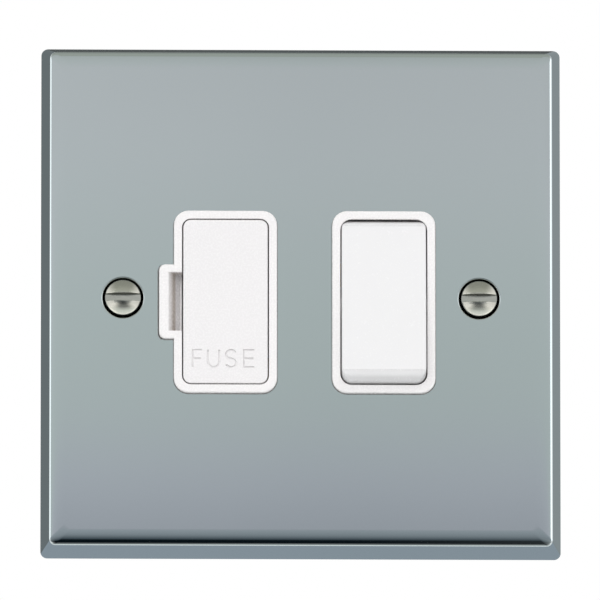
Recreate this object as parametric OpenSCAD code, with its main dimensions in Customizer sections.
// Switched fused spur unit for a single flush or surface box.
// X runs to the right and Z upwards as the unit hangs on the wall. Y runs into the wall.
// The origin lies midway between the two fixing screws, on the plane of the plate's rim.

/* [Faceplate] */
// Width and height of the square plate at its rim
plate_w = 88; // [84:0.5:94]
// How far the plate's face stands off the wall
plate_rise = 5; // [4.6:0.1:6]
// Sideways run of the bevelled border
bevel_run = 1.3; // [0.6:0.1:2.4]
// Corner radius of the plate at its rim
plate_corner_r = 1.1; // [0.8:0.1:3]
// Corner radius of the plate's flat face
face_corner_r = 0.6; // [0.4:0.1:2]
// Radius of the rounded edge between face and border
face_edge_r = 0.7; // [0.3:0.1:1.2]
// Thickness of the plate's metal
plate_t = 1.2; // [0.9:0.1:1.6]

/* [Fixing screws] */
// Distance between the two fixing screws
fixing_pitch = 60.3; // [59.8:0.1:61]
// Radius of the fixing screw's thread
fixing_r = 1.75; // [1.5:0.05:2]
// Radius of the fixing screw's head
fixing_head_r = 3; // [2.6:0.1:3.4]
// Height of the head's dome
fixing_dome = 1; // [0.6:0.1:1.4]
// Height of the head's straight side, between its cone and its dome
head_side = 1.4; // [0.8:0.1:1.6]
// Length of the fixing screw behind its head's straight side
fixing_len = 23; // [16:1:38]
// Width of the slot in the head
fixing_slot_w = 1.3; // [0.8:0.1:1.6]
// Depth of the slot below the top of the dome
fixing_slot_depth = 1.4; // [0.8:0.1:1.8]
// How much wider the countersink is than the head
sink_margin = 0.4; // [0.2:0.1:0.6]
// Depth of the countersink's straight mouth
sink_mouth = 0.5; // [0.2:0.1:0.7]
// Clearance between a head's cone and its countersink
head_seat = 0.03; // [0.02:0.01:0.05]
// Clearance of the fixing screw in the plate's hole
fixing_clearance = 0.25; // [0.15:0.05:0.4]
// Metal around each countersink, on the back of the plate
dimple_wall = 1.1; // [0.8:0.1:1.4]
// Length of the hole behind each countersink
dimple_land = 0.2; // [0.1:0.05:0.6]
// Chamfer at the end of the fixing screw
fixing_chamfer = 0.8; // [0.4:0.1:1.2]

/* [Collars] */
// Place of the fuse carrier's middle across the plate
fuse_x = -12.8; // [-13.6:0.1:-12.4]
// Place of the rocker's middle across the plate
switch_x = 14; // [13.6:0.1:14.6]
// Height of both collars' middle above the fixing screws
collar_z = -0.75; // [-1.5:0.05:0.5]
// How far the collars stand out of the plate's face
collar_proud = 1; // [0.6:0.1:1.6]
// Width of each collar's rim
collar_rim = 1.4; // [1:0.1:2]
// Corner radius of the collars
collar_corner_r = 2.5; // [1.8:0.1:3.2]
// Reach of the notch's tab beyond the fuse collar
tab_reach = 2.5; // [2:0.1:3]
// Height of the notch's tab
tab_h = 12.8; // [11.5:0.1:15]
// Corner radius of the notch's tab
tab_corner_r = 1.1; // [0.6:0.1:1.6]
// Height of the screwdriver notch
notch_h = 10.1; // [8:0.1:11]
// Reach of the screwdriver notch from the carrier's opening
notch_reach = 2.3; // [1.4:0.1:2.8]
// Depth of the screwdriver notch next to the carrier
notch_depth = 3.6; // [2.6:0.1:3.8]
// Reach of the notch's floor from the carrier's opening
notch_floor = 0.3; // [0.1:0.1:0.8]
// Clearance between the collars and the plate's openings
collar_fit = 0.08; // [0.05:0.01:0.25]

/* [Front housing] */
// Height of the flange behind the plate
flange_h = 67; // [64:0.5:70]
// Thickness of the flange
flange_t = 2.2; // [1.8:0.1:2.8]
// Distance of the plate's studs from the middle, sideways
stud_x = 18; // [16:0.5:20]
// Distance of the plate's studs from the middle, up and down
stud_z = 31; // [30.6:0.1:31.4]
// Radius of the plate's studs
stud_r = 1.5; // [1.2:0.05:1.6]
// Width of the stud nuts across their flats
nut_flats = 5.5; // [5:0.1:5.8]
// Thickness of the stud nuts
nut_t = 2.4; // [1.6:0.1:3]
// Length of each stud beyond its nut
stud_spare = 0.8; // [0.3:0.1:1.5]
// Clearance of the studs in the flange
stud_clearance = 0.2; // [0.1:0.05:0.4]
// Radius of the pillars that take the housing screws
pillar_r = 3; // [2.6:0.1:3.2]
// Length of the pillars behind the flange
pillar_len = 3.6; // [2.5:0.1:5]
// Thickness of the ribs that hold the terminal blocks in their pockets
rib_t = 1.6; // [1:0.1:2]
// Length of those ribs
rib_len = 5.6; // [4:0.1:7]
// Distance of those ribs from the middle of the wire entries, clear of the strips
rib_offset = 2.1; // [1.9:0.1:2.6]

/* [Fuse] */
// Diameter of the fuse link's end caps
fuse_d = 6.35; // [6:0.05:6.6]
// Length of each end cap
cap_len = 6.3; // [5:0.1:7]
// Diameter of the fuse link's barrel
barrel_d = 5.8; // [5.2:0.1:5.9]
// Thickness of the end caps' metal
cap_t = 0.3; // [0.2:0.05:0.5]
// Depth of the fuse link's axis behind the collar's front
fuse_depth = 8.3; // [7.8:0.1:9]
// Thickness of the fuse clips' metal
clip_t = 0.6; // [0.4:0.05:0.8]
// Length of each fuse clip along the fuse link
clip_len = 4.5; // [3.5:0.1:5]
// Distance from each end of the fuse link to its clip's middle
clip_inset = 2.95; // [2.6:0.05:3.4]
// Clearance between the fuse link and its clips
clip_gap = 0.1; // [0.05:0.01:0.2]
// Height of the clips' jaws in front of the fuse link's axis
jaw_reach = 2.4; // [1:0.1:2.8]
// Height and width of the flare at the clips' mouths
jaw_flare = 0.8; // [0.4:0.1:1]
// Width of the strip that joins the upper clip to its terminal
clip_strip_w = 2.8; // [2:0.1:3]
// Clearance between that strip and the side of the fuse's chamber
clip_strip_gap = 0.35; // [0.2:0.05:0.4]

/* [Fuse carrier] */
// Width of the fuse carrier
carrier_w = 14.3; // [13.8:0.1:14.8]
// Height of the fuse carrier
carrier_h = 28.2; // [28:0.1:30]
// Corner radius of the fuse carrier
carrier_corner_r = 1.3; // [0.8:0.1:2]
// Clearance around the fuse carrier
carrier_gap = 0.2; // [0.15:0.01:0.3]
// Thickness of the carrier's face
carrier_face_t = 2.1; // [1.6:0.1:2.6]
// Thickness of the carrier's skirt and legs
carrier_wall = 1.2; // [0.8:0.1:1.2]
// Depth of the carrier's skirt behind its face
skirt_depth = 2.7; // [1.6:0.1:3]
// Clearance between the fuse link's ends and the carrier's legs
fuse_end_gap = 0.2; // [0.1:0.05:0.4]
// Width of the carrier's two legs
leg_w = 8; // [6:0.1:8.6]
// How far the stop nib stands out of each leg
nib_out = 0.45; // [0.3:0.05:0.6]
// Length of the stop nib
nib_len = 1.1; // [0.8:0.1:2]
// How far the carrier slides out
carrier_travel = 12.5; // [10:0.1:14]
// Length of the fingers that hold the barrel, along it
finger_len = 6; // [3:0.1:8]
// Thickness of the fingers
finger_t = 1; // [0.7:0.1:1.5]
// How far the fingers reach past the fuse link's axis
finger_wrap = 1.2; // [0.6:0.1:1.6]
// Clearance between the fingers and the barrel
barrel_gap = 0.08; // [0.05:0.01:0.15]
// Depth of the groove that a screwdriver catches in the carrier's side
groove_depth = 0.7; // [0.4:0.1:0.8]
// Distance from the carrier's face to that groove
groove_in = 1.3; // [0.9:0.1:1.6]
// Width of that groove along the carrier's depth
groove_w = 1.8; // [1:0.1:2.2]

/* [Rocker] */
// Width of the rocker
rocker_w = 14.3; // [13.8:0.1:14.8]
// Height of the rocker's opening in its collar
rocker_opening_h = 28.6; // [28:0.1:30]
// Clearance at each side of the rocker
rocker_gap = 0.2; // [0.15:0.01:0.3]
// Clearance at each end of the rocker, at the collar's front
rocker_end_gap = 0.3; // [0.2:0.01:0.4]
// Corner radius of the rocker as seen from the front
rocker_corner_r = 1.7; // [0.8:0.1:2]
// Radius of the rounded edge at each end of the rocker
rocker_edge_r = 1.5; // [0.8:0.1:2]
// How far the rocker tips to each side of level
rocker_tilt = 7; // [5:0.5:8]
// Depth of the rocker's pivot behind the collar's front
pivot_depth = 2.6; // [2.3:0.1:3]
// How far the level rocker's face stands in front of the collar
rocker_proud = 1.3; // [0.8:0.1:1.8]
// Depth of the rocker's rear edge behind its pivot
rocker_back = 1.2; // [1.2:0.1:2]
// Thickness of the rocker's walls
rocker_wall = 1.3; // [0.9:0.1:1.6]
// Radius of the rocker's pivot pins
pin_r = 1.2; // [0.9:0.05:1.3]
// Length of the rocker's pivot pins
pin_len = 1.3; // [0.9:0.1:1.8]
// Clearance between the rocker's drum and its chamber
swing_gap = 0.5; // [0.3:0.1:0.8]
// Thickness of the collar's lip over the ends of the rocker
lip_t = 0.6; // [0.4:0.05:0.8]
// Radial clearance of pins and plungers in their bores
running_gap = 0.06; // [0.03:0.01:0.08]

/* [Plungers and springs] */
// Distance between the two poles of the switch
pole_pitch = 7; // [6.7:0.1:7.2]
// Radius of the plungers
plunger_r = 1.42; // [1.2:0.01:1.5]
// Distance of the plunger's rounded end from the pivot
plunger_reach = 9; // [8.4:0.1:10]
// Distance of the plunger's rear end from the pivot
plunger_back = 3.2; // [2.8:0.1:4]
// Outer radius of the plungers' sleeves
sleeve_r = 2.1; // [1.9:0.05:2.3]
// Distance of the sleeves' mouths from the pivot
sleeve_reach = 5.5; // [4.5:0.1:6]
// Thickness of the spring's seat at the bottom of each sleeve
spring_seat_t = 1; // [0.6:0.1:1.6]
// Radius of the springs' coils at the middle of the wire
coil_r = 1.05; // [0.9:0.01:1.1]
// Radius of the springs' wire
spring_wire_r = 0.18; // [0.12:0.01:0.2]
// Turns of each spring
spring_turns = 6; // [4:1:8]

/* [Contacts] */
// Width of the contact strips
strip_w = 4; // [3.4:0.1:4.2]
// Thickness of the contact strips
strip_t = 0.8; // [0.6:0.05:1]
// How far each moving contact tips to each side of level
contact_tilt = 10; // [8:0.5:11]
// Distance of the moving contact's underside from its fulcrum axis
fulcrum_gap = 0.5; // [0.45:0.01:0.7]
// Radius of the fulcrum's rounded ridge
ridge_r = 0.4; // [0.3:0.01:0.4]
// Clearance of a plunger above its contact at rest
plunger_tip_gap = 0.39; // [0.35:0.01:0.6]
// Distance of the contact tips from the fulcrum
tip_offset = 8.2; // [7.6:0.1:9]
// Radius of the contact tips
tip_r = 1.5; // [1.2:0.05:1.7]
// Thickness of the moving contact tips
moving_tip_t = 0.6; // [0.4:0.05:0.9]
// Thickness of the fixed contact tips
fixed_tip_t = 0.86; // [0.7:0.02:1.2]
// Radius of the fixed contact tips' domed faces
fixed_tip_dome_r = 5; // [4:0.5:6]
// Clearance between the contact tips when the switch is on
closed_gap = 0.12; // [0.1:0.01:0.3]
// Reach of the moving contact's free end below its fulcrum
tail_reach = 8; // [6:0.1:9]
// Thickness of the fulcrum brackets' ears
ear_t = 0.6; // [0.4:0.05:0.6]
// Clearance between the ears and the moving contact
ear_gap = 0.15; // [0.1:0.01:0.2]
// Length of the fulcrum brackets' ears
ear_len = 3.2; // [2:0.1:4]
// Height of the ears in front of the fulcrum axis
ear_rise = 1.7; // [1:0.1:2]
// Width of the live link's run up the unit
link_run_w = 3.8; // [3:0.1:4]
// Clearance of the strips in the ways cut for them
way_gap = 0.15; // [0.1:0.01:0.25]
// Thickness of the barrier between the two poles
barrier_t = 0.8; // [0.6:0.1:1.2]

/* [Terminals] */
// Width of a terminal block
block_w = 8.4; // [7.4:0.1:9]
// Length of a terminal block along its wire entry
block_len = 8.5; // [7.5:0.1:9]
// Depth of a terminal block along its clamp screw
block_depth = 8.6; // [8:0.1:10]
// Radius of the wire entries
entry_r = 2.25; // [2:0.05:2.4]
// Thickness of brass in front of the wire entry
entry_wall = 0.85; // [0.7:0.05:1.2]
// Radius of the clamp screws' threaded holes
clamp_r = 1.5; // [1.3:0.05:1.55]
// Radial clearance of the clamp screws in their threads
thread_gap = 0.05; // [0.02:0.01:0.08]
// Radius of the clamp screws' heads
clamp_head_r = 2.4; // [2:0.05:2.5]
// Thickness of the clamp screws' heads
clamp_head_t = 2; // [1.4:0.1:2.4]
// Depth of the clamp screws' heads below the mouths of their wells
clamp_head_sink = 0.2; // [0.1:0.1:1]
// Clearance between the clamp screws' ends and the wire entries
clamp_tip_gap = 0.1; // [0.05:0.01:0.2]
// Width of the slots in the clamp screws' heads
clamp_slot_w = 0.8; // [0.6:0.1:1]
// Radius of the wells over the clamp screws
well_r = 2.8; // [2.7:0.05:3]
// Depth of the wells over the clamp screws
well_depth = 5.7; // [5:0.1:7]
// Distance between the earth terminal's two wire entries
earth_pitch = 8.6; // [7.8:0.1:9]
// Place of the load live terminal across the unit
load_live_x = -16; // [-16.6:0.1:-15.8]
// Place of the earth terminal across the unit
earth_x = -12.5; // [-13.2:0.1:-12.2]

/* [Rear housing] */
// Distance of the terminal blocks' inner sides from the middle
bank_z = 17.5; // [17.2:0.1:18.5]
// Clearance around the terminal blocks
pocket_gap = 0.1; // [0.05:0.01:0.2]
// Wall between neighbouring terminal pockets
bank_wall = 1.4; // [1:0.1:1.8]
// Thickness of the rear housing's outer walls
housing_wall = 1.7; // [1.4:0.1:2.2]
// Thickness of the terminal towers' walls towards the middle
tower_wall = 1.5; // [1:0.1:2]
// Wall between the fuse's chamber and the live link's channel
inner_wall = 1.9; // [1.4:0.1:2]
// Clearance around the live link in its channel
channel_gap = 0.6; // [0.3:0.1:0.8]
// How much wider the housing's wire entries are than the terminals'
entry_flare = 0.35; // [0.2:0.05:0.5]
// Clearance around the fuse clips' seat
seat_margin = 0.5; // [0.3:0.1:0.8]
// Thickness of the rear housing's floor
housing_floor_t = 2.5; // [1.8:0.1:3.5]
// Corner radius of the rear housing
housing_corner_r = 1.5; // [0.8:0.1:2.5]
// Radius kept clear around the fixing screws for the box's lugs
lug_clear_r = 5.5; // [5:0.1:6]
// Distance of the housing screws from the middle, up and down
housing_screw_z = 21.75; // [20:0.05:23]
// Place of the housing screws across the unit
housing_screw_x = 0.4; // [0.2:0.1:0.6]
// Radius of the housing screws' threads
housing_screw_r = 1.45; // [1.2:0.05:1.5]
// Radius of the housing screws' heads
housing_head_r = 2.7; // [2.4:0.05:2.8]
// Thickness of the housing screws' heads
housing_head_t = 2.2; // [1.6:0.1:2.6]
// Thickness of the web under the housing screws' heads
web_t = 2.5; // [1.8:0.1:3.5]
// Clearance around the housing screws
web_gap = 0.25; // [0.15:0.05:0.4]
// Clearance around the pillars in the rear housing
pillar_gap = 0.15; // [0.1:0.01:0.25]
// Wall between the housing screws' ends and the back of the plate
screw_end_wall = 0.6; // [0.4:0.1:1]
// Reach of the cross recess in the housing screws' heads
recess_reach = 1.6; // [1.2:0.1:1.9]
// Width of the cross recess
recess_w = 0.8; // [0.6:0.1:1]

/* [Earth strap] */
// Width of the earth strap
strap_w = 5; // [4:0.1:5.4]
// Thickness of the earth strap
strap_t = 0.6; // [0.4:0.05:0.8]
// Radius of the earth strap's ring
strap_ring_r = 3.4; // [3.2:0.1:3.6]
// Length of the strap's foot on the earth terminal
strap_foot = 3; // [2:0.1:4]
// Distance from the earth terminal's end to the strap's bend
strap_bend = 4; // [3.5:0.1:4.5]

/* [Hidden] */
$fn = 48;
corner_steps = 6;
eps = 0.01;
// How far cuts run past the faces that they open
over = 1;
// Clearance at the end of a travel, and at the ends of pins and screws
seat_gap = 0.15;

// Depths from front to back
face_y = -plate_rise;
face_back_y = face_y + plate_t;
collar_y = face_y - collar_proud;
flange_y = face_back_y + flange_t;
fuse_y = collar_y + fuse_depth;
jaw_in = fuse_d / 2 + clip_gap;
jaw_out = jaw_in + clip_t;
clip_front_y = fuse_y + jaw_in;
block_y = clip_front_y + clip_t;
block_back_y = block_y + block_depth;
tower_y = block_back_y + well_depth;
entry_y = block_y + entry_wall + entry_r;

// Faceplate and its screws
bevel_angle = atan(bevel_run / plate_rise);
edge_run = face_edge_r * tan((90 - bevel_angle) / 2);
face_inset = bevel_run + edge_run;
sink_r = fixing_head_r + sink_margin;
fixing_hole_r = fixing_r + fixing_clearance;
dimple_r = sink_r + dimple_wall;
dimple_y = face_y + sink_mouth + sink_r - fixing_hole_r + dimple_land;
stud_end_y = flange_y + strap_t + nut_t + stud_spare;
// A head's cone seats on the plate's countersink, and its straight side brings the dome out
head_cone_y = face_y + sink_mouth + sink_margin;
dome_rim_y = head_cone_y - head_side;
dome_r = (pow(fixing_head_r, 2) + pow(fixing_dome, 2)) / (2 * fixing_dome);
dome_top_y = dome_rim_y - fixing_dome;
fixing_end_y = head_cone_y + fixing_len;

// Fuse link, which fills the carrier from leg to leg, and its clips
leg_in = carrier_h / 2 - carrier_wall;
fuse_len = 2 * (leg_in - fuse_end_gap);
clip_offset = fuse_len / 2 - clip_inset;

// Fuse carrier and its opening
carrier_open_w = carrier_w + 2 * carrier_gap;
carrier_open_h = carrier_h + 2 * carrier_gap;
carrier_face_back_y = collar_y + carrier_face_t;
skirt_y = carrier_face_back_y + skirt_depth;
nib_y = flange_y + carrier_travel + seat_gap;
leg_y = nib_y + nib_len;
leg_floor_y = leg_y + 2 * carrier_gap;
fuse_collar_w = carrier_open_w + 2 * collar_rim;
fuse_collar_h = carrier_open_h + 2 * collar_rim;
fuse_chamber_h = carrier_open_h + 2 * (nib_out + carrier_gap);
pedestal_half_h = leg_in - seat_margin;
strip_left = fuse_x - carrier_open_w / 2 + clip_strip_gap;
finger_bore_r = barrel_d / 2 + barrel_gap;

// Rocker and its opening
pivot_y = collar_y + pivot_depth;
rocker_open_w = rocker_w + 2 * rocker_gap;
switch_collar_w = rocker_open_w + 2 * collar_rim;
switch_collar_h = rocker_opening_h + 2 * collar_rim;
rocker_half = rocker_opening_h / 2 - rocker_end_gap;
rocker_r = sqrt(pow(rocker_half, 2) + pow(pivot_depth, 2));
rocker_face = pivot_depth + rocker_proud;
rocker_swing = rocker_r + swing_gap;
sleeve_bore_r = plunger_r + running_gap;
spring_seat = rocker_wall - rocker_face + spring_seat_t;

// Contacts, worked out from the rocker's rest position and the closed position
contact_top = fulcrum_gap + strip_t;
plunger_rise = plunger_r + plunger_tip_gap + contact_top
    - plunger_reach * sin(rocker_tilt) * sin(contact_tilt);
fulcrum_y = pivot_y + plunger_reach * cos(rocker_tilt) + plunger_rise / cos(contact_tilt);
moving_tip_face = moving_tip_t - fulcrum_gap;
closed_tip_y = fulcrum_y + moving_tip_face * cos(contact_tilt) + tip_offset * sin(contact_tilt);
closed_tip_z = collar_z + tip_offset * cos(contact_tilt) - moving_tip_face * sin(contact_tilt);
strip_y = closed_tip_y + closed_gap + fixed_tip_t;
contact_floor_y = strip_y + strip_t;
pole_x = [switch_x - pole_pitch / 2, switch_x + pole_pitch / 2];
ear_out = strip_w / 2 + ear_gap + ear_t;

// Terminals and housings
block_pitch = block_w + 2 * pocket_gap + bank_wall;
supply_live_x = switch_x - block_pitch / 2;
neutral_x = switch_x + block_pitch / 2;
block_mid_z = bank_z + block_len / 2;
earth_w = earth_pitch + block_w;
housing_half_w = neutral_x + block_w / 2 + pocket_gap + housing_wall;
housing_half_h = bank_z + block_len + pocket_gap + housing_wall;
floor_y = max(contact_floor_y, leg_floor_y) + housing_floor_t;
partition_z = bank_z - pocket_gap;
entry_out_r = entry_r + entry_flare;
clamp_tip_y = entry_y + entry_r + clamp_tip_gap;
clamp_head_y = tower_y - clamp_head_t - clamp_head_sink;
pillar_y = flange_y + pillar_len;
web_y = pillar_y + pillar_gap + web_t;
screw_end_y = face_back_y + screw_end_wall;
strap_x = -stud_x;
strap_bend_z = strap_bend - bank_z - block_len;

// Channel for the live link, between the fuse carrier and the rocker
wall_x = fuse_x + carrier_open_w / 2;
link_x = wall_x + inner_wall + channel_gap;
clip_low_z = collar_z - clip_offset - clip_len / 2;

// Each wire entry: its place across the unit, and 1 at the top or -1 at the bottom
terminal_places = [
    [supply_live_x, -1], [neutral_x, -1], [neutral_x, 1], [load_live_x, 1],
    [earth_x - earth_pitch / 2, -1], [earth_x + earth_pitch / 2, -1]
];

// Facets of the springs' wire
spring_sides = 6;
spring_steps = 10;

// Points of an arc about a centre, from one angle to another
function arc(x, y, r, from, to, steps = corner_steps) =
    [for (i = [0:steps]) let (a = from + (to - from) * i / steps) [x + r * cos(a), y + r * sin(a)]];

// Outline of a rectangle with rounded corners, about the origin
function rounded_points(w, h, r) = concat(
    arc(w / 2 - r, h / 2 - r, r, 0, 90),
    arc(r - w / 2, h / 2 - r, r, 90, 180),
    arc(r - w / 2, r - h / 2, r, 180, 270),
    arc(w / 2 - r, r - h / 2, r, 270, 360)
);

module rounded(w, h, r) {
    polygon(rounded_points(w, h, r));
}

// Extrudes a front view between two depths
module slab(front, back) {
    translate([0, back, 0])
        rotate([90, 0, 0])
            linear_extrude(height = back - front)
                children();
}

// Extrudes a side view, drawn as [y, z], between two places across the unit
module across(from, to) {
    translate([from, 0, 0])
        rotate([90, 0, 90])
            linear_extrude(height = to - from)
                children();
}

// Box given by its two corners
module block(low, high) {
    translate(low)
        cube(high - low);
}

// Round bar or bore along the depth of the unit
module bar(x, z, r, front, back) {
    translate([x, back, z])
        rotate([90, 0, 0])
            cylinder(r = r, h = back - front);
}

// Puts what is drawn for the right side on the left side too
module both_sides() {
    children();
    mirror([1, 0, 0])
        children();
}

// Faceplate

// Points down the border: inset from the rim and depth, with the face's rounded edge
border = concat(
    [[0, 0]],
    [for (i = [corner_steps:-1:0]) let (a = (90 - bevel_angle) * i / corner_steps)
        [face_inset - face_edge_r * sin(a), face_y + face_edge_r * (1 - cos(a))]]
);

module plate_level(inset, y, t) {
    share = min(inset / face_inset, 1);
    slab(y, y + t)
        rounded(plate_w - 2 * inset, plate_w - 2 * inset,
                plate_corner_r + (face_corner_r - plate_corner_r) * share);
}

module plate_body() {
    hull()
        for (p = border)
            plate_level(p[0], p[1] - (p[1] == 0 ? eps : 0), eps);
}

module plate_hollow() {
    wall = plate_t / cos(bevel_angle);
    inner_run = bevel_run * (1 - plate_t / plate_rise);
    hull() {
        plate_level(wall - eps, 0, 2 * eps);
        plate_level(wall + inner_run, face_back_y, eps);
    }
}

module fuse_collar_outline(grow) {
    union() {
        translate([fuse_x, collar_z])
            rounded(fuse_collar_w + 2 * grow, fuse_collar_h + 2 * grow, collar_corner_r + grow);
        translate([fuse_x - fuse_collar_w / 2, collar_z])
            rounded(2 * (tab_reach + grow), tab_h + 2 * grow, tab_corner_r + grow);
    }
}

module switch_collar_outline(grow) {
    translate([switch_x, collar_z])
        rounded(switch_collar_w + 2 * grow, switch_collar_h + 2 * grow, collar_corner_r + grow);
}

module faceplate() {
    color([0.63, 0.66, 0.67])
        difference() {
            union() {
                difference() {
                    plate_body();
                    plate_hollow();
                }
                both_sides()
                    bar(fixing_pitch / 2, 0, dimple_r, face_y + plate_t / 2, dimple_y);
            }
            slab(face_y - over, 0)
                fuse_collar_outline(collar_fit);
            slab(face_y - over, 0)
                switch_collar_outline(collar_fit);
            both_sides()
                translate([fixing_pitch / 2, 0, 0]) {
                    bar(0, 0, sink_r, face_y - over, face_y + sink_mouth);
                    rotate([-90, 0, 0])
                        translate([0, 0, face_y + sink_mouth])
                            cylinder(r1 = sink_r, r2 = 0, h = sink_r);
                    bar(0, 0, fixing_hole_r, face_y, 0);
                }
        }
}

module plate_studs() {
    color([0.7, 0.7, 0.68])
        for (x = [-stud_x, stud_x], z = [-stud_z, stud_z])
            bar(x, z, stud_r, face_back_y, stud_end_y);
}

module stud_nuts() {
    color([0.78, 0.72, 0.5])
        for (x = [-stud_x, stud_x], z = [-stud_z, stud_z]) {
            seat = flange_y + (x < 0 && z < 0 ? strap_t : 0);
            difference() {
                translate([x, seat + nut_t, z])
                    rotate([90, 0, 0])
                        cylinder(r = nut_flats / sqrt(3), h = nut_t, $fn = 6);
                bar(x, z, stud_r + thread_gap, seat - over, seat + nut_t + over);
            }
        }
}

module fixing_screw() {
    profile = concat(
        [[0, dome_top_y]],
        [for (i = [1:corner_steps]) let (a = asin(fixing_head_r / dome_r) * i / corner_steps)
            [dome_r * sin(a), dome_top_y + dome_r * (1 - cos(a))]],
        [[fixing_head_r, head_cone_y],
         [fixing_r, head_cone_y + fixing_head_r - fixing_r],
         [fixing_r, fixing_end_y - fixing_chamfer],
         [fixing_r - fixing_chamfer, fixing_end_y],
         [0, fixing_end_y]]
    );
    difference() {
        rotate([-90, 0, 0])
            rotate_extrude()
                polygon(profile);
        block([-fixing_head_r - over, dome_top_y - over, -fixing_slot_w / 2],
              [fixing_head_r + over, dome_top_y + fixing_slot_depth, fixing_slot_w / 2]);
    }
}

module fixing_screws() {
    color([0.72, 0.7, 0.62])
        for (x = [-fixing_pitch / 2, fixing_pitch / 2])
            translate([x, -head_seat, 0])
                fixing_screw();
}

// Front housing

module lug_reliefs() {
    both_sides()
        bar(fixing_pitch / 2, 0, lug_clear_r, face_back_y - over, tower_y + over);
}

module screwdriver_notch() {
    left = fuse_x - carrier_open_w / 2;
    translate([0, 0, collar_z - notch_h / 2])
        linear_extrude(height = notch_h)
            polygon([
                [left - notch_reach, collar_y],
                [left - notch_reach, collar_y - over],
                [left + over, collar_y - over],
                [left + over, collar_y + notch_depth],
                [left - notch_floor, collar_y + notch_depth]
            ]);
}

module rocker_bores() {
    translate([switch_x, pivot_y, collar_z])
        rotate([0, 90, 0])
            cylinder(r = pin_r + running_gap, h = rocker_w + 2 * (pin_len + seat_gap), center = true);
}

// Ribs that hold a terminal block down in its pocket
module block_rib(x, side) {
    block([x + rib_offset - rib_t / 2, flange_y - eps, side * block_mid_z - rib_len / 2],
          [x + rib_offset + rib_t / 2, block_y, side * block_mid_z + rib_len / 2]);
}

module front_housing() {
    color([0.95, 0.94, 0.94])
        difference() {
            union() {
                slab(face_back_y, flange_y)
                    rounded(2 * housing_half_w, flange_h, housing_corner_r);
                slab(collar_y, face_back_y + eps) {
                    fuse_collar_outline(0);
                    switch_collar_outline(0);
                }
                for (side = [-1, 1])
                    bar(housing_screw_x, side * housing_screw_z, pillar_r, flange_y - eps, pillar_y);
                block_rib(supply_live_x, -1);
                block_rib(neutral_x, -1);
                block_rib(neutral_x, 1);
                block_rib(load_live_x, 1);
                block_rib(earth_x + earth_pitch / 2, -1);
            }
            translate([fuse_x, 0, collar_z])
                slab(collar_y - over, flange_y + over)
                    rounded(carrier_open_w, carrier_open_h, carrier_corner_r + carrier_gap);
            translate([switch_x, 0, collar_z]) {
                slab(collar_y - over, flange_y + over)
                    rounded(rocker_open_w, rocker_opening_h, rocker_corner_r + rocker_gap);
                slab(collar_y + lip_t, flange_y + over)
                    square([rocker_open_w, 2 * rocker_swing], center = true);
            }
            rocker_bores();
            screwdriver_notch();
            lug_reliefs();
            for (x = [-stud_x, stud_x], z = [-stud_z, stud_z])
                bar(x, z, stud_r + stud_clearance, face_back_y - over, flange_y + over);
            for (side = [-1, 1])
                bar(housing_screw_x, side * housing_screw_z, housing_screw_r + thread_gap,
                    screw_end_y - seat_gap, pillar_y + over);
        }
}

// Rear housing

// Pocket for a terminal block, open at the front, with the well over each of its screws
module terminal_pocket(x, w, side) {
    half = w / 2 + pocket_gap;
    mirror([0, 0, side > 0 ? 0 : 1])
        block([x - half, flange_y - over, partition_z],
              [x + half, block_back_y, bank_z + block_len + pocket_gap]);
}

module terminal_ways(x, side) {
    bar(x, side * block_mid_z, well_r, block_back_y - over, tower_y + over);
    mirror([0, 0, side > 0 ? 0 : 1])
        translate([x, entry_y, bank_z + block_len])
            cylinder(r = entry_out_r, h = housing_wall + over);
}

module tower(x, w, side) {
    half = w / 2 + pocket_gap + housing_wall;
    mid = (partition_z - tower_wall + housing_half_h) / 2;
    translate([x, 0, side * mid])
        slab(flange_y, tower_y)
            rounded(2 * half, housing_half_h - partition_z + tower_wall, housing_corner_r);
}

module fuse_chamber() {
    difference() {
        translate([fuse_x, 0, collar_z])
            slab(flange_y - over, leg_floor_y)
                square([carrier_open_w, fuse_chamber_h], center = true);
        fuse_pedestal();
    }
}

// Seat of the fuse clips, with ledges for the upper clip's strip and the lower clip's tab
module fuse_pedestal() {
    half = jaw_out + seat_margin;
    floor_end = leg_floor_y + over;
    block([fuse_x - half, block_y, collar_z - pedestal_half_h],
          [fuse_x + half, floor_end, collar_z + pedestal_half_h]);
    block([fuse_x - carrier_open_w, block_y, collar_z + clip_offset - clip_len / 2 - seat_margin],
          [fuse_x - leg_w / 2 - seat_margin, floor_end, collar_z + fuse_chamber_h]);
    block([fuse_x + leg_w / 2 + carrier_gap, block_y, clip_low_z - carrier_gap],
          [fuse_x + carrier_open_w, floor_end, clip_low_z + clip_len + carrier_gap]);
}

module switch_chamber() {
    difference() {
        translate([switch_x, 0, collar_z])
            slab(flange_y - over, contact_floor_y)
                square([rocker_open_w + 2 * way_gap, 2 * rocker_swing], center = true);
        block([switch_x - barrier_t / 2, pivot_y + sleeve_reach, collar_z - rocker_swing - over],
              [switch_x + barrier_t / 2, contact_floor_y + over, collar_z + rocker_swing + over]);
    }
}

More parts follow.
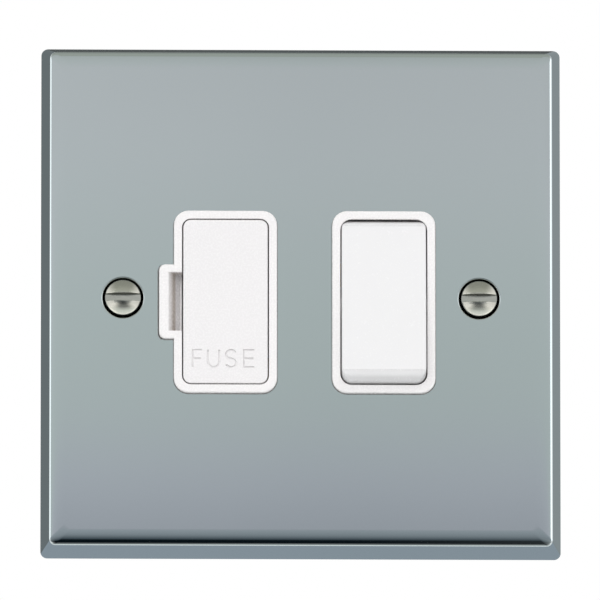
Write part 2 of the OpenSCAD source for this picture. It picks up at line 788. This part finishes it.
// Ways cut in the inner walls for the strips
module strip_ways() {
    way = strip_w / 2 + way_gap;
    front = flange_y - over;
    // Brackets run down to the supply terminals
    for (x = pole_x)
        block([x - way, front, -partition_z - over], [x + way, contact_floor_y, collar_z]);
    // The neutral fixed contact runs up to its load terminal
    block([pole_x[1] - way, front, collar_z], [pole_x[1] + way, contact_floor_y, partition_z + over]);
    // The upper clip's strip runs up to the load live terminal
    block([strip_left - way_gap, front, collar_z + clip_offset],
          [strip_left + clip_strip_w + way_gap, block_y, partition_z + over]);
    // The lower clip's tab reaches the live link
    block([wall_x - over, front, clip_low_z - way_gap],
          [link_x, block_y, clip_low_z + clip_len + way_gap]);
    // The live link's channel and its arm to the live pole
    block([link_x - channel_gap, front, clip_low_z - channel_gap],
          [link_x + link_run_w + channel_gap, contact_floor_y, closed_tip_z + way]);
    block([link_x, front, closed_tip_z - way],
          [switch_x - rocker_open_w / 2 + over, contact_floor_y, closed_tip_z + way]);
}

module rear_housing() {
    color([0.86, 0.86, 0.84])
        difference() {
            union() {
                slab(flange_y, floor_y)
                    rounded(2 * housing_half_w, 2 * housing_half_h, housing_corner_r);
                tower(load_live_x, block_w, 1);
                tower(neutral_x, block_w, 1);
                tower(switch_x, block_w + block_pitch, -1);
                tower(earth_x, earth_w, -1);
            }
            fuse_chamber();
            switch_chamber();
            strip_ways();
            terminal_pocket(supply_live_x, block_w, -1);
            terminal_pocket(neutral_x, block_w, -1);
            terminal_pocket(neutral_x, block_w, 1);
            terminal_pocket(load_live_x, block_w, 1);
            terminal_pocket(earth_x, earth_w, -1);
            for (p = terminal_places)
                terminal_ways(p[0], p[1]);
            for (side = [-1, 1]) {
                bar(housing_screw_x, side * housing_screw_z, pillar_r + pillar_gap,
                    flange_y - over, pillar_y + pillar_gap);
                bar(housing_screw_x, side * housing_screw_z, housing_screw_r + web_gap,
                    flange_y, floor_y);
                bar(housing_screw_x, side * housing_screw_z, housing_head_r + web_gap,
                    web_y, tower_y + over);
            }
            strap_way();
            lug_reliefs();
        }
}

module housing_screws() {
    color([0.8, 0.76, 0.6])
        for (side = [-1, 1])
            translate([housing_screw_x, 0, side * housing_screw_z])
                difference() {
                    union() {
                        bar(0, 0, housing_screw_r, screw_end_y, web_y + eps);
                        bar(0, 0, housing_head_r, web_y, web_y + housing_head_t);
                    }
                    for (turn = [0, 90])
                        rotate([0, turn, 0])
                            block([-recess_reach, web_y + housing_head_t / 2, -recess_w / 2],
                                  [recess_reach, web_y + housing_head_t + over, recess_w / 2]);
                }
}

// Fuse carrier and fuse link, drawn about the carrier's middle

module carrier_leg() {
    block([-leg_w / 2, skirt_y - eps, leg_in], [leg_w / 2, leg_y, carrier_h / 2]);
    block([-leg_w / 2, nib_y, leg_in], [leg_w / 2, leg_y, carrier_h / 2 + nib_out]);
}

module finger_pair() {
    out = finger_bore_r + finger_t;
    mouth = sqrt(pow(finger_bore_r, 2) - pow(finger_wrap, 2));
    difference() {
        block([-out, carrier_face_back_y - eps, -finger_len / 2],
              [out, fuse_y + finger_wrap, finger_len / 2]);
        translate([0, fuse_y, 0])
            cylinder(r = finger_bore_r, h = finger_len + 2 * over, center = true);
        block([-mouth, fuse_y, -finger_len], [mouth, fuse_y + fuse_d, finger_len]);
    }
}

module fuse_carrier() {
    color([0.96, 0.95, 0.95])
        translate([fuse_x, 0, collar_z])
            difference() {
                union() {
                    difference() {
                        slab(collar_y, skirt_y)
                            rounded(carrier_w, carrier_h, carrier_corner_r);
                        slab(carrier_face_back_y, skirt_y + over)
                            square([carrier_w - 2 * carrier_wall, carrier_h - 2 * carrier_wall],
                                   center = true);
                    }
                    carrier_leg();
                    mirror([0, 0, 1])
                        carrier_leg();
                    finger_pair();
                }
                // Groove that the screwdriver's tip catches
                block([-carrier_w / 2 - over, collar_y + groove_in, -notch_h / 2],
                      [groove_depth - carrier_w / 2, collar_y + groove_in + groove_w, notch_h / 2]);
            }
}

module fuse_barrel() {
    color([0.9, 0.87, 0.78])
        translate([fuse_x, fuse_y, collar_z])
            cylinder(r = barrel_d / 2, h = fuse_len - 2 * cap_t, center = true);
}

module fuse_caps() {
    color([0.8, 0.78, 0.72])
        translate([fuse_x, fuse_y, collar_z])
            for (side = [0, 1])
                mirror([0, 0, side])
                    difference() {
                        translate([0, 0, fuse_len / 2 - cap_len])
                            cylinder(r = fuse_d / 2, h = cap_len);
                        translate([0, 0, fuse_len / 2 - cap_len - over])
                            cylinder(r = barrel_d / 2, h = cap_len + over - cap_t);
                    }
}

// Fuse clips

module jaws(z) {
    for (side = [-1, 1])
        translate([fuse_x, 0, z - clip_len / 2])
            linear_extrude(height = clip_len)
                polygon([
                    [side * jaw_in, block_y - eps],
                    [side * jaw_in, fuse_y - jaw_reach + jaw_flare],
                    [side * (jaw_in + jaw_flare / 2), fuse_y - jaw_reach],
                    [side * (jaw_out + jaw_flare / 2), fuse_y - jaw_reach],
                    [side * jaw_out, fuse_y - jaw_reach + jaw_flare],
                    [side * jaw_out, block_y - eps]
                ]);
}

module upper_fuse_clip() {
    z = collar_z + clip_offset;
    color([0.84, 0.7, 0.38])
        union() {
            jaws(z);
            block([strip_left, clip_front_y, z - clip_len / 2],
                  [fuse_x + jaw_out, block_y, z + clip_len / 2]);
            block([strip_left, clip_front_y, z - clip_len / 2],
                  [strip_left + clip_strip_w, block_y, block_mid_z]);
        }
}

module lower_fuse_clip() {
    z = collar_z - clip_offset;
    color([0.84, 0.7, 0.38])
        union() {
            jaws(z);
            block([fuse_x - jaw_out, clip_front_y, z - clip_len / 2], [link_x, block_y, z + clip_len / 2]);
        }
}

// Strips of the switch

module live_link() {
    high = closed_tip_z + strip_w / 2;
    color([0.84, 0.7, 0.38])
        union() {
            block([link_x, clip_front_y, clip_low_z],
                  [link_x + clip_t, contact_floor_y, clip_low_z + clip_len]);
            block([link_x, strip_y, clip_low_z], [link_x + link_run_w, contact_floor_y, high]);
            block([link_x, strip_y, closed_tip_z - strip_w / 2],
                  [pole_x[0] + strip_w / 2, contact_floor_y, high]);
        }
}

module neutral_fixed_contact() {
    color([0.84, 0.7, 0.38])
        block([pole_x[1] - strip_w / 2, strip_y, closed_tip_z - strip_w / 2],
              [pole_x[1] + strip_w / 2, contact_floor_y, bank_z]);
}

module fixed_contact_tips() {
    color([0.88, 0.88, 0.86])
        for (x = pole_x)
            intersection() {
                bar(x, closed_tip_z, tip_r, strip_y - fixed_tip_t - over, strip_y);
                translate([x, strip_y - fixed_tip_t + fixed_tip_dome_r, closed_tip_z])
                    sphere(r = fixed_tip_dome_r);
            }
}

module fulcrum_bracket(x) {
    base = strip_y - fulcrum_y;
    high = collar_z + ear_len / 2;
    ridge_len = 2 * ear_out - ear_t;
    // Where the ridge's sides leave its round top
    spread = atan2(ear_len / 2, base) + acos(ridge_r / norm([base, ear_len / 2]));
    color([0.84, 0.7, 0.38])
        union() {
            block([x - strip_w / 2, strip_y, -bank_z], [x + strip_w / 2, contact_floor_y, high]);
            block([x - ear_out, strip_y, high - ear_len], [x + ear_out, contact_floor_y, high]);
            for (side = [-1, 1])
                translate([x + side * (ear_out - ear_t / 2), 0, collar_z])
                    block([-ear_t / 2, fulcrum_y - ear_rise, -ear_len / 2],
                          [ear_t / 2, contact_floor_y, ear_len / 2]);
            translate([x, fulcrum_y, collar_z]) {
                rotate([0, 90, 0])
                    cylinder(r = ridge_r, h = ridge_len, center = true);
                across(-ridge_len / 2, ridge_len / 2)
                    polygon([
                        [base + eps, -ear_len / 2],
                        ridge_r * [cos(spread), -sin(spread)],
                        ridge_r * [cos(spread), sin(spread)],
                        [base + eps, ear_len / 2]
                    ]);
            }
        }
}

module live_fulcrum_bracket() {
    fulcrum_bracket(pole_x[0]);
}

module neutral_fulcrum_bracket() {
    fulcrum_bracket(pole_x[1]);
}

// Places a piece drawn about the level fulcrum at its rest tilt
module on_fulcrum(x) {
    translate([x, fulcrum_y, collar_z])
        rotate([contact_tilt, 0, 0])
            children();
}

module moving_contact(x) {
    color([0.84, 0.7, 0.38])
        on_fulcrum(x)
            block([-strip_w / 2, -contact_top, -tail_reach],
                  [strip_w / 2, -fulcrum_gap, tip_offset + tip_r]);
}

module moving_tip(x) {
    color([0.88, 0.88, 0.86])
        on_fulcrum(x)
            bar(0, tip_offset, tip_r, -fulcrum_gap, moving_tip_face);
}

module live_moving_contact() {
    moving_contact(pole_x[0]);
}

module live_moving_tip() {
    moving_tip(pole_x[0]);
}

module neutral_moving_contact() {
    moving_contact(pole_x[1]);
}

module neutral_moving_tip() {
    moving_tip(pole_x[1]);
}

// Rocker, drawn level about its pivot

// Side view of the rocker as [y, z]: a drum cut flat at the face and the rear edge
function rocker_points(r, face, back, edge_r) =
    let (
        edge_z = sqrt(pow(r - edge_r, 2) - pow(face - edge_r, 2)),
        lean = atan((face - edge_r) / edge_z),
        rear = asin(back / r)
    )
    concat(
        arc(edge_r - face, edge_z, edge_r, 180, 90 + lean),
        arc(0, 0, r, 90 + lean, 90 - rear),
        arc(0, 0, r, rear - 90, -90 - lean),
        arc(edge_r - face, -edge_z, edge_r, -90 - lean, -180)
    );

// Places a piece drawn about the level pivot at the switch's off position
module on_pivot() {
    translate([switch_x, pivot_y, collar_z])
        rotate([-rocker_tilt, 0, 0])
            children();
}

module rocker() {
    inner_edge_r = max(rocker_edge_r - rocker_wall, rocker_gap);
    color([0.96, 0.96, 0.96])
        on_pivot()
            difference() {
                union() {
                    intersection() {
                        difference() {
                            across(-rocker_w / 2, rocker_w / 2)
                                polygon(rocker_points(rocker_r, rocker_face, rocker_back, rocker_edge_r));
                            across(rocker_wall - rocker_w / 2, rocker_w / 2 - rocker_wall)
                                polygon(rocker_points(rocker_r - rocker_wall, rocker_face - rocker_wall,
                                                      rocker_back + over, inner_edge_r));
                        }
                        slab(-rocker_face - over, rocker_back + over)
                            rounded(rocker_w, rocker_opening_h - rocker_end_gap, rocker_corner_r);
                    }
                    rotate([0, 90, 0])
                        difference() {
                            cylinder(r = pin_r, h = rocker_w + 2 * pin_len, center = true);
                            cylinder(r = pin_r + over, h = rocker_w - rocker_wall, center = true);
                        }
                    for (side = [-1, 1])
                        bar(side * pole_pitch / 2, 0, sleeve_r,
                            rocker_wall - rocker_face - eps, sleeve_reach);
                }
                for (side = [-1, 1])
                    bar(side * pole_pitch / 2, 0, sleeve_bore_r, spring_seat, sleeve_reach + over);
            }
}

module plunger(side) {
    color([0.86, 0.86, 0.8])
        on_pivot()
            translate([side * pole_pitch / 2, 0, 0])
                rotate([-90, 0, 0])
                    rotate_extrude()
                        polygon(concat(
                            [[0, plunger_back], [plunger_r, plunger_back]],
                            arc(0, plunger_reach, plunger_r, 0, 90)
                        ));
}

module live_plunger() {
    plunger(-1);
}

module neutral_plunger() {
    plunger(1);
}

// Coil spring between its seat in the sleeve and the plunger, as a swept tube
function coil_point(i, from, pitch) =
    let (a = 360 * i / spring_steps)
    [coil_r * cos(a), from + pitch * i / spring_steps, coil_r * sin(a)];

function coil_ring(i, from, pitch) =
    let (a = 360 * i / spring_steps, c = coil_point(i, from, pitch))
    [for (k = [0:spring_sides - 1]) let (b = 360 * k / spring_sides)
        c + spring_wire_r * [cos(b) * cos(a), sin(b), cos(b) * sin(a)]];

module coil_spring(side) {
    rings = spring_turns * spring_steps;
    from = spring_seat + spring_wire_r;
    pitch = (plunger_back - spring_seat - 2 * spring_wire_r) / spring_turns;
    points = [for (i = [0:rings]) each coil_ring(i, from, pitch)];
    last = rings * spring_sides;
    walls = [for (i = [0:rings - 1], k = [0:spring_sides - 1])
        let (a = i * spring_sides + k, b = i * spring_sides + (k + 1) % spring_sides)
        [a, b, b + spring_sides, a + spring_sides]];
    ends = [
        [for (k = [spring_sides - 1:-1:0]) k],
        [for (k = [0:spring_sides - 1]) last + k]
    ];
    color([0.7, 0.7, 0.72])
        on_pivot()
            translate([side * pole_pitch / 2, 0, 0])
                polyhedron(points = points, faces = concat(walls, ends));
}

module live_spring() {
    coil_spring(-1);
}

module neutral_spring() {
    coil_spring(1);
}

// Terminals

// Brass block with a wire entry and a threaded clamp hole at each place across it
module terminal(x, w, side, places) {
    color([0.86, 0.72, 0.4])
        difference() {
            translate([x - w / 2, block_y, side > 0 ? bank_z : -bank_z - block_len])
                cube([w, block_depth, block_len]);
            for (place = places) {
                translate([place, entry_y, side * block_mid_z])
                    cylinder(r = entry_r, h = block_len + 2 * over, center = true);
                bar(place, side * block_mid_z, clamp_r, entry_y, block_back_y + over);
            }
        }
}

module supply_live_terminal() {
    terminal(supply_live_x, block_w, -1, [supply_live_x]);
}

module supply_neutral_terminal() {
    terminal(neutral_x, block_w, -1, [neutral_x]);
}

module load_live_terminal() {
    terminal(load_live_x, block_w, 1, [load_live_x]);
}

module load_neutral_terminal() {
    terminal(neutral_x, block_w, 1, [neutral_x]);
}

module earth_terminal() {
    terminal(earth_x, earth_w, -1, [earth_x - earth_pitch / 2, earth_x + earth_pitch / 2]);
}

module terminal_screws() {
    color([0.8, 0.76, 0.6])
        for (p = terminal_places)
            translate([p[0], 0, p[1] * block_mid_z])
                difference() {
                    union() {
                        bar(0, 0, clamp_r - thread_gap, clamp_tip_y, clamp_head_y + eps);
                        bar(0, 0, clamp_head_r, clamp_head_y, clamp_head_y + clamp_head_t);
                    }
                    block([-clamp_head_r - over, clamp_head_y + clamp_head_t / 2, -clamp_slot_w / 2],
                          [clamp_head_r + over, clamp_head_y + clamp_head_t + over, clamp_slot_w / 2]);
                }
}

// Earth strap, from the lower left stud over the housing's edge to the earth terminal
module strap_way() {
    half = strap_w / 2 + way_gap;
    block([strap_x - half, flange_y - over, -housing_half_h - over],
          [strap_x + half, flange_y + strap_t + way_gap, -bank_z - block_len + over]);
}

module earth_strap() {
    color([0.84, 0.7, 0.38])
        difference() {
            union() {
                bar(strap_x, -stud_z, strap_ring_r, flange_y, flange_y + strap_t);
                block([strap_x - strap_w / 2, flange_y, -stud_z],
                      [strap_x + strap_w / 2, flange_y + strap_t, strap_bend_z]);
                block([strap_x - strap_w / 2, flange_y, strap_bend_z - strap_t],
                      [strap_x + strap_w / 2, block_y, strap_bend_z]);
                block([strap_x - strap_w / 2, block_y - strap_t, strap_bend_z - strap_t],
                      [strap_x + strap_w / 2, block_y, strap_bend_z + strap_foot]);
            }
            bar(strap_x, -stud_z, stud_r + thread_gap, flange_y - over, flange_y + strap_t + over);
        }
}

faceplate();
plate_studs();
stud_nuts();
fixing_screws();
front_housing();
rear_housing();
housing_screws();
fuse_carrier();
fuse_barrel();
fuse_caps();
upper_fuse_clip();
lower_fuse_clip();
live_link();
neutral_fixed_contact();
fixed_contact_tips();
live_fulcrum_bracket();
neutral_fulcrum_bracket();
live_moving_contact();
live_moving_tip();
neutral_moving_contact();
neutral_moving_tip();
rocker();
live_plunger();
neutral_plunger();
live_spring();
neutral_spring();
supply_live_terminal();
supply_neutral_terminal();
load_live_terminal();
load_neutral_terminal();
earth_terminal();
terminal_screws();
earth_strap();
